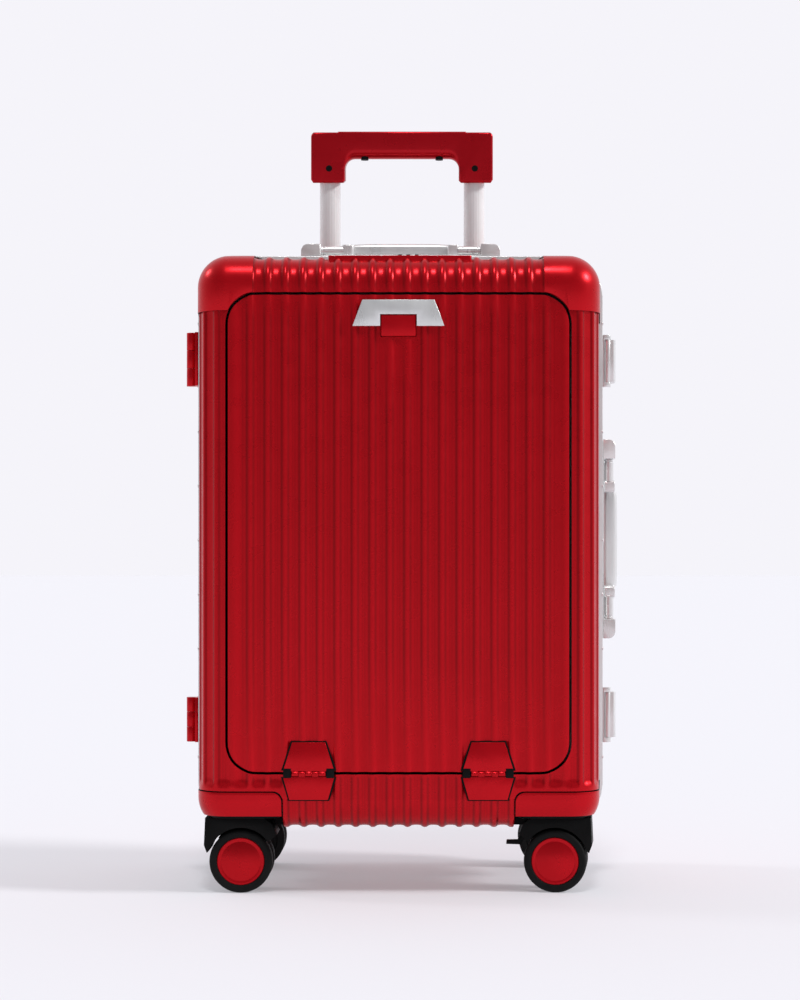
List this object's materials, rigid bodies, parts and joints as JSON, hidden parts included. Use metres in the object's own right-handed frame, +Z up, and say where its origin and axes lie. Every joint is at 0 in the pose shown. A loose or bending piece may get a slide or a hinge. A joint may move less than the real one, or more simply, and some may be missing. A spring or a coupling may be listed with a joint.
{
  "type": "hard-shell cabin suitcase",
  "caption": "Upright ribbed hard-shell cabin case with a metal frame, a front pocket door, a pull-out trolley, carry handles and swivelling twin wheels.",
  "frame": {"origin": "on the floor, under the middle of the case, at the plane where the two halves meet", "axes": "+Z up, +X to the right as seen from the front, and the front door faces -Y"},
  "size_m": [0.3776, 0.2384, 0.672],
  "materials": {
    "shell_red": "satin metallic red, moulded ribs, fine grain",
    "grip_red": "satin red",
    "silver": "satin cast silver",
    "tube_silver": "polished anodised tube",
    "frame_aluminium": "satin anodised rail",
    "black_plastic": "satin black",
    "tyre": "matt black tread",
    "gasket": "soft black seal",
    "lining": "woven dark grey lining"
  },
  "bodies": {
    "rear_case": {"rear_shell": "shell_red", "rear_frame": "frame_aluminium", "frame_gasket": "gasket", "rear_guard_bottom_left": "shell_red", "rear_guard_bottom_right": "shell_red", "rear_guard_top_left": "shell_red", "rear_guard_top_right": "shell_red", "trolley_bezel": "black_plastic", "trolley_housing": "lining", "trolley_outer_tube_left": "frame_aluminium", "trolley_outer_tube_right": "frame_aluminium", "side_hinge_rear_lower": "shell_red", "side_hinge_rear_upper": "shell_red", "latch_keeper_upper": "silver", "latch_keeper_lower": "silver", "top_handle_base": "silver", "side_handle_base": "silver"},
    "lid": {"front_shell": "shell_red", "front_frame": "frame_aluminium", "front_guard_bottom_left": "shell_red", "front_guard_bottom_right": "shell_red", "front_guard_top_left": "shell_red", "front_guard_top_right": "shell_red", "side_hinge_front_lower": "shell_red", "side_hinge_front_upper": "shell_red", "latch_base_upper": "silver", "latch_base_lower": "silver", "pocket_tray": "lining", "lock_plate": "shell_red", "door_hinge_lower_left": "shell_red", "door_hinge_lower_right": "shell_red"},
    "door": {"door_panel": "shell_red", "door_latch_plate": "silver", "door_hinge_upper_left": "shell_red", "door_hinge_upper_right": "shell_red"},
    "door_push": {"door_push": "shell_red"},
    "dial_1": {"dial_1": "black_plastic"},
    "dial_2": {"dial_2": "black_plastic"},
    "dial_3": {"dial_3": "black_plastic"},
    "latch_lever_upper": {"latch_lever_upper": "silver"},
    "latch_lever_lower": {"latch_lever_lower": "silver"},
    "top_handle": {"top_handle": "silver"},
    "side_handle": {"side_handle": "silver"},
    "trolley": {"trolley_grip": "grip_red", "trolley_inner_tube_left": "tube_silver", "trolley_inner_tube_right": "tube_silver"},
    "grip_button": {"grip_button": "grip_red"},
    "caster_front_left": {"caster_front_left_fork": "black_plastic"},
    "caster_front_left_wheel_a": {"caster_front_left_wheel_a": "tyre"},
    "caster_front_left_wheel_b": {"caster_front_left_wheel_b": "tyre"},
    "caster_front_right": {"caster_front_right_fork": "black_plastic"},
    "caster_front_right_wheel_a": {"caster_front_right_wheel_a": "tyre"},
    "caster_front_right_wheel_b": {"caster_front_right_wheel_b": "tyre"},
    "caster_brake_lever": {"caster_brake_lever": "black_plastic"},
    "caster_rear_left": {"caster_rear_left_fork": "black_plastic"},
    "caster_rear_left_wheel_a": {"caster_rear_left_wheel_a": "tyre"},
    "caster_rear_left_wheel_b": {"caster_rear_left_wheel_b": "tyre"},
    "caster_rear_right": {"caster_rear_right_fork": "black_plastic"},
    "caster_rear_right_wheel_a": {"caster_rear_right_wheel_a": "tyre"},
    "caster_rear_right_wheel_b": {"caster_rear_right_wheel_b": "tyre"}
  },
  "joints": [
    {"name": "lid_hinge", "type": "hinge", "parent": "rear_case", "child": "lid", "pos_m": [-0.184, 0, 0.3], "axis": [0, 0, -1], "range_deg": [0, 180]},
    {"name": "door_hinge", "type": "hinge", "parent": "lid", "child": "door", "pos_m": [0, -0.117, 0.1023], "axis": [1, 0, 0], "range_deg": [0, 90]},
    {"name": "door_push_slide", "type": "slide", "parent": "door", "child": "door_push", "axis": [0, 1, 0], "range_m": [0, 0.003], "stiffness_N_per_m": 300, "springref_m": -0.002},
    {"name": "dial_1_turn", "type": "hinge", "parent": "lid", "child": "dial_1", "pos_m": [0.0008, -0.085, 0.5336], "axis": [1, 0, 0], "continuous": true},
    {"name": "dial_2_turn", "type": "hinge", "parent": "lid", "child": "dial_2", "pos_m": [0.0078, -0.085, 0.5336], "axis": [1, 0, 0], "continuous": true},
    {"name": "dial_3_turn", "type": "hinge", "parent": "lid", "child": "dial_3", "pos_m": [0.0148, -0.085, 0.5336], "axis": [1, 0, 0], "continuous": true},
    {"name": "latch_upper_flip", "type": "hinge", "parent": "lid", "child": "latch_lever_upper", "pos_m": [0.182, -0.007, 0.45475], "axis": [0, 0, -1], "range_deg": [0, 95]},
    {"name": "latch_lower_flip", "type": "hinge", "parent": "lid", "child": "latch_lever_lower", "pos_m": [0.182, -0.007, 0.144], "axis": [0, 0, -1], "range_deg": [0, 95]},
    {"name": "top_handle_swing", "type": "hinge", "parent": "rear_case", "child": "top_handle", "pos_m": [0, 0, 0.5526], "axis": [1, 0, 0], "range_deg": [0, 90]},
    {"name": "side_handle_swing", "type": "hinge", "parent": "rear_case", "child": "side_handle", "pos_m": [0.1836, 0, 0.2985], "axis": [0, 0, -1], "range_deg": [0, 90]},
    {"name": "trolley_slide", "type": "slide", "parent": "rear_case", "child": "trolley", "axis": [0, 0, 1], "range_m": [-0.0815, 0.325]},
    {"name": "grip_button_press", "type": "slide", "parent": "trolley", "child": "grip_button", "axis": [0, 0, -1], "range_m": [0, 0.003], "stiffness_N_per_m": 300, "springref_m": -0.002},
    {"name": "caster_front_left_swivel", "type": "hinge", "parent": "lid", "child": "caster_front_left", "pos_m": [-0.142, -0.076, 0.068], "axis": [0, 0, 1], "continuous": true},
    {"name": "caster_front_left_wheel_a_spin", "type": "hinge", "parent": "caster_front_left", "child": "caster_front_left_wheel_a", "pos_m": [-0.133, -0.076, 0.0265], "axis": [0, 1, 0], "continuous": true},
    {"name": "caster_front_left_wheel_b_spin", "type": "hinge", "parent": "caster_front_left", "child": "caster_front_left_wheel_b", "pos_m": [-0.133, -0.076, 0.0265], "axis": [0, 1, 0], "continuous": true},
    {"name": "caster_front_right_swivel", "type": "hinge", "parent": "lid", "child": "caster_front_right", "pos_m": [0.142, -0.076, 0.068], "axis": [0, 0, 1], "continuous": true},
    {"name": "caster_front_right_wheel_a_spin", "type": "hinge", "parent": "caster_front_right", "child": "caster_front_right_wheel_a", "pos_m": [0.13305, -0.07506, 0.0265], "axis": [-0.1045, -0.9945, 0], "continuous": true},
    {"name": "caster_front_right_wheel_b_spin", "type": "hinge", "parent": "caster_front_right", "child": "caster_front_right_wheel_b", "pos_m": [0.13305, -0.07506, 0.0265], "axis": [-0.1045, -0.9945, 0], "continuous": true},
    {"name": "caster_brake_press", "type": "hinge", "parent": "caster_front_right", "child": "caster_brake_lever", "pos_m": [0.10719, -0.07234, 0.05], "axis": [-0.1045, -0.9945, 0], "range_deg": [0, 12]},
    {"name": "caster_rear_left_swivel", "type": "hinge", "parent": "rear_case", "child": "caster_rear_left", "pos_m": [-0.142, 0.076, 0.068], "axis": [0, 0, 1], "continuous": true},
    {"name": "caster_rear_left_wheel_a_spin", "type": "hinge", "parent": "caster_rear_left", "child": "caster_rear_left_wheel_a", "pos_m": [-0.133, 0.076, 0.0265], "axis": [0, 1, 0], "continuous": true},
    {"name": "caster_rear_left_wheel_b_spin", "type": "hinge", "parent": "caster_rear_left", "child": "caster_rear_left_wheel_b", "pos_m": [-0.133, 0.076, 0.0265], "axis": [0, 1, 0], "continuous": true},
    {"name": "caster_rear_right_swivel", "type": "hinge", "parent": "rear_case", "child": "caster_rear_right", "pos_m": [0.142, 0.076, 0.068], "axis": [0, 0, 1], "continuous": true},
    {"name": "caster_rear_right_wheel_a_spin", "type": "hinge", "parent": "caster_rear_right", "child": "caster_rear_right_wheel_a", "pos_m": [0.133, 0.076, 0.0265], "axis": [0, -1, 0], "continuous": true},
    {"name": "caster_rear_right_wheel_b_spin", "type": "hinge", "parent": "caster_rear_right", "child": "caster_rear_right_wheel_b", "pos_m": [0.133, 0.076, 0.0265], "axis": [0, -1, 0], "continuous": true}
  ]
}
